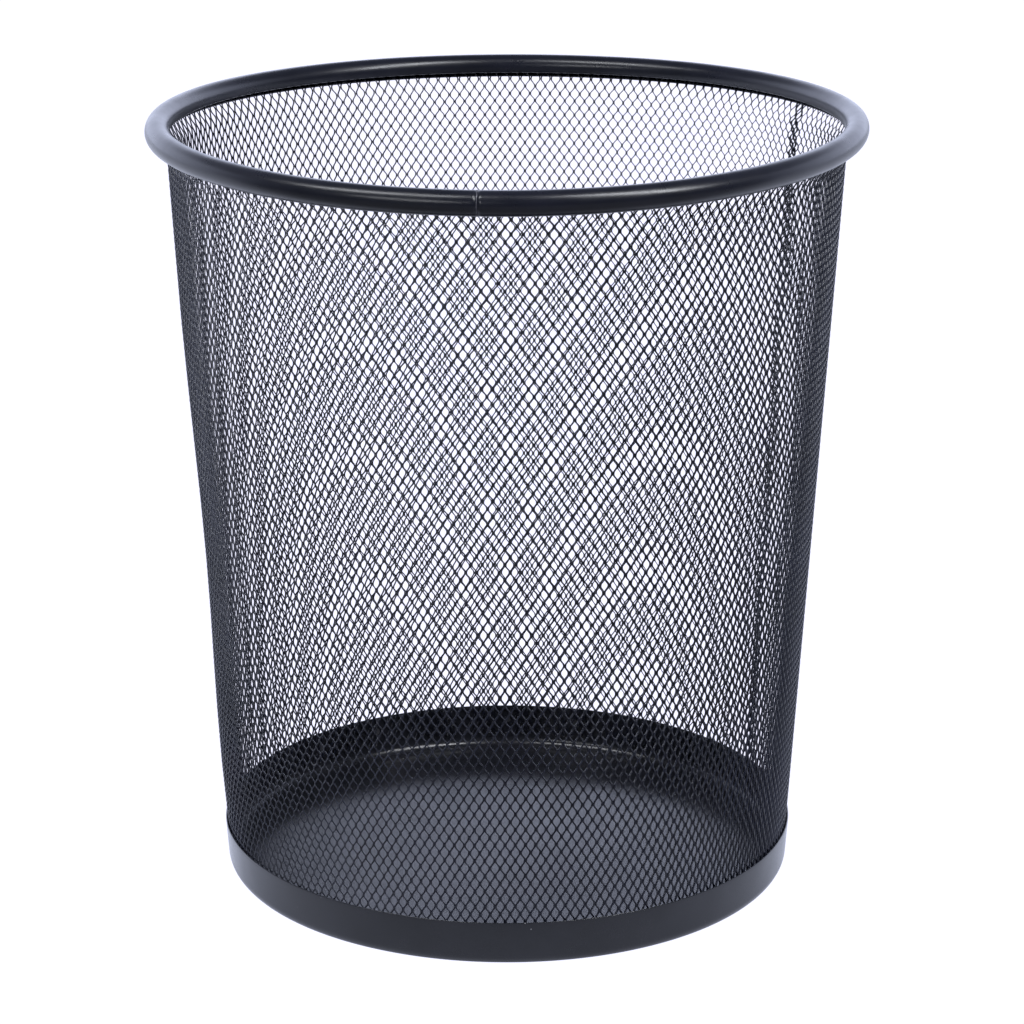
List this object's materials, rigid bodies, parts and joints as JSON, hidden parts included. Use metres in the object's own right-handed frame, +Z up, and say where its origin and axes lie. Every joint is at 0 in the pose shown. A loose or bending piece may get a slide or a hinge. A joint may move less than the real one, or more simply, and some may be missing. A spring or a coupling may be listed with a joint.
{
  "type": "wastebasket",
  "caption": "Round tapered office wastebasket with an open expanded-steel mesh wall, a rolled tube rim and a solid pressed pan base.",
  "frame": {"origin": "on the axis of the basket, at the level the pan stands on, which is the bottom centre of its box", "axes": "+Z up along the axis, towards the open mouth; -Y towards the side with the butt joint of the rim; +X to the right seen from that side"},
  "size_m": [0.295, 0.295, 0.325],
  "materials": {
    "rim_paint": "semi-gloss black enamel on rolled steel tube",
    "mesh_paint": "semi-gloss black powder coat on expanded steel",
    "pan_paint": "satin black enamel on pressed steel sheet"
  },
  "bodies": {
    "root": {"rim_tube": "rim_paint", "rim_butt_weld": "rim_paint", "wall_mesh": "mesh_paint", "seam_welds": "mesh_paint", "base_pan": "pan_paint", "pan_spot_welds": "pan_paint"}
  },
  "joints": []
}
